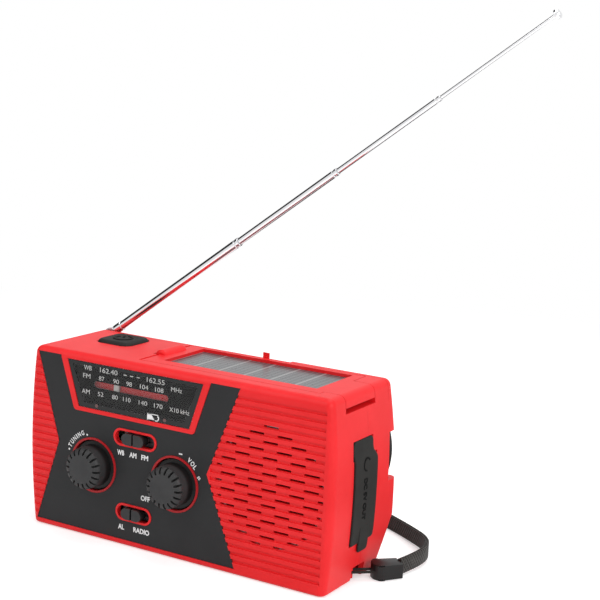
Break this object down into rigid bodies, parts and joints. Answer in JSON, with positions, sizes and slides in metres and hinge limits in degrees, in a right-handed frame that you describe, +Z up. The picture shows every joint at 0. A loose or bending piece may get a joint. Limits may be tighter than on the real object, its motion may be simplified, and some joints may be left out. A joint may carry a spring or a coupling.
{
  "type": "emergency radio",
  "caption": "Hand-crank radio with ribbed case, hourglass dial panel, knurled knobs, slide switches, solar lid, telescopic antenna, crank, port cover and strap.",
  "frame": {"origin": "middle of the case width on the plane it stands on, under the seam region of its base", "axes": "+Z up, +X to the right seen from the dial side, -Y out of the dial side"},
  "size_m": [0.2082, 0.1048, 0.2246],
  "materials": {
    "case_red": "fine matt texture",
    "panel_black": "matt",
    "window_clear": "polished clear plastic",
    "scale_print": "matt print",
    "knob_black": "fluted, fine texture",
    "slider_black": "satin",
    "gear_white": "moulded nylon",
    "board_green": "solder mask",
    "part_grey": "satin",
    "steel": "turned",
    "chrome": "polished",
    "magnet_grey": "ground",
    "paper_black": "paper cone",
    "rubber_dark": "matt rubber",
    "solar_grey": "coated glass",
    "lamp_white": "milky diffuser",
    "battery_wrap": "shrink wrap",
    "lens_clear": "clear",
    "webbing": "woven"
  },
  "bodies": {
    "case": {"front_shell": "case_red", "rear_shell": "case_red", "battery_door": "case_red", "front_panel": "panel_black", "dial_window": "window_clear", "dial_scale": "scale_print", "dial_channel": "case_red", "band_switch": "part_grey", "mode_switch": "part_grey", "circuit_board": "board_green", "port_board": "board_green", "button_board": "board_green", "tuning_capacitor": "part_grey", "volume_pot": "part_grey", "dial_gear_pin": "steel", "middle_gear_pin": "steel", "dynamo": "steel", "gear_plate": "part_grey", "speaker_basket": "steel", "speaker_cone": "paper_black", "speaker_magnet": "magnet_grey", "button_switch": "part_grey", "lid_hinge_pin": "steel", "port_cover_root": "rubber_dark", "usb_output_socket": "steel", "usb_input_socket": "steel", "battery_cell": "battery_wrap", "battery_holder": "part_grey", "torch_reflector": "chrome", "torch_lens": "lens_clear", "torch_led": "lamp_white", "antenna_bracket": "steel", "case_screws": "steel", "strap_cord": "webbing", "strap_clasp": "panel_black", "strap_webbing": "webbing"},
    "tuning": {"tuning_knob": "knob_black", "tuning_shaft": "gear_white"},
    "dial_gear": {"dial_gear": "gear_white"},
    "pointer": {"pointer_rack": "gear_white"},
    "volume": {"volume_knob": "knob_black", "volume_shaft": "part_grey"},
    "band_slider": {"band_slider": "slider_black"},
    "mode_slider": {"mode_slider": "slider_black"},
    "crank": {"crank_arm": "knob_black", "crank_shaft": "steel", "crank_gear": "gear_white", "crank_grip_pin": "steel"},
    "crank_grip": {"crank_grip": "knob_black"},
    "middle_gear": {"middle_gear": "gear_white"},
    "dynamo_rotor": {"dynamo_pinion": "gear_white"},
    "light_button": {"light_button": "rubber_dark"},
    "lid": {"solar_lid": "case_red", "solar_cell": "solar_grey", "reading_lamp": "lamp_white"},
    "port_cover": {"port_cover": "rubber_dark"},
    "antenna_1": {"antenna_tube_1": "chrome"},
    "antenna_2": {"antenna_tube_2": "chrome"},
    "antenna_3": {"antenna_tube_3": "chrome"},
    "antenna_4": {"antenna_tube_4": "chrome"}
  },
  "joints": [
    {"name": "tuning_turn", "type": "hinge", "parent": "case", "child": "tuning", "pos_m": [-0.0399, -0.025, 0.0314], "axis": [0, -1, 0], "range_deg": [-58.5, 159]},
    {"name": "dial_gear_turn", "type": "hinge", "parent": "case", "child": "dial_gear", "pos_m": [-0.0215, -0.01, 0.04528], "axis": [0, -1, 0], "range_deg": [-106.2, 41.6]},
    {"name": "pointer_travel", "type": "slide", "parent": "case", "child": "pointer", "axis": [1, 0, 0], "range_m": [-0.00979, 0.02558]},
    {"name": "volume_turn", "type": "hinge", "parent": "case", "child": "volume", "pos_m": [0.0015, -0.025, 0.0314], "axis": [0, 1, 0], "range_deg": [0, 280]},
    {"name": "band_slide", "type": "slide", "parent": "case", "child": "band_slider", "axis": [1, 0, 0], "range_m": [-0.0035, 0.0035]},
    {"name": "mode_slide", "type": "slide", "parent": "case", "child": "mode_slider", "axis": [1, 0, 0], "range_m": [-0.0026, 0.0026]},
    {"name": "crank_turn", "type": "hinge", "parent": "case", "child": "crank", "pos_m": [0.0435, 0.02, 0.0465], "axis": [0, -1, 0], "continuous": true},
    {"name": "crank_grip_fold", "type": "hinge", "parent": "crank", "child": "crank_grip", "pos_m": [0.0671, 0.02395, 0.0465], "axis": [0, 0, -1], "range_deg": [0, 90]},
    {"name": "middle_gear_turn", "type": "hinge", "parent": "case", "child": "middle_gear", "pos_m": [0.02173, 0.01, 0.03635], "axis": [0, -1, 0], "continuous": true},
    {"name": "dynamo_turn", "type": "hinge", "parent": "case", "child": "dynamo_rotor", "pos_m": [0.00599, 0.008, 0.02533], "axis": [0, -1, 0], "continuous": true},
    {"name": "light_button_press", "type": "slide", "parent": "case", "child": "light_button", "axis": [0, 0, -1], "range_m": [0, 0.001], "stiffness_N_per_m": 1500, "springref_m": -0.0003},
    {"name": "lid_open", "type": "hinge", "parent": "case", "child": "lid", "pos_m": [-0.0215, 0, 0.0768], "axis": [0, -1, 0], "range_deg": [0, 95]},
    {"name": "port_cover_open", "type": "hinge", "parent": "case", "child": "port_cover", "pos_m": [0.07553, 0, 0.0521], "axis": [0, -1, 0], "range_deg": [0, 120]},
    {"name": "antenna_swing", "type": "hinge", "parent": "case", "child": "antenna_1", "pos_m": [-0.0684, 0.0226, 0.0764], "axis": [0, -1, 0], "range_deg": [-33.2, 53.8]},
    {"name": "antenna_slide_2", "type": "slide", "parent": "antenna_1", "child": "antenna_2", "axis": [0.807, 0, 0.5906], "range_m": [-0.0556, 0]},
    {"name": "antenna_slide_3", "type": "slide", "parent": "antenna_2", "child": "antenna_3", "axis": [0.807, 0, 0.5906], "range_m": [-0.0527, 0]},
    {"name": "antenna_slide_4", "type": "slide", "parent": "antenna_3", "child": "antenna_4", "axis": [0.807, 0, 0.5906], "range_m": [-0.053, 0]}
  ],
  "couplings": [
    {"joint": "dial_gear_turn", "follows": "tuning_turn", "ratio": -0.64286},
    {"joint": "pointer_travel", "follows": "tuning_turn", "m_per_rad": 0.009},
    {"joint": "middle_gear_turn", "follows": "crank_turn", "ratio": -4},
    {"joint": "dynamo_turn", "follows": "crank_turn", "ratio": 12}
  ]
}
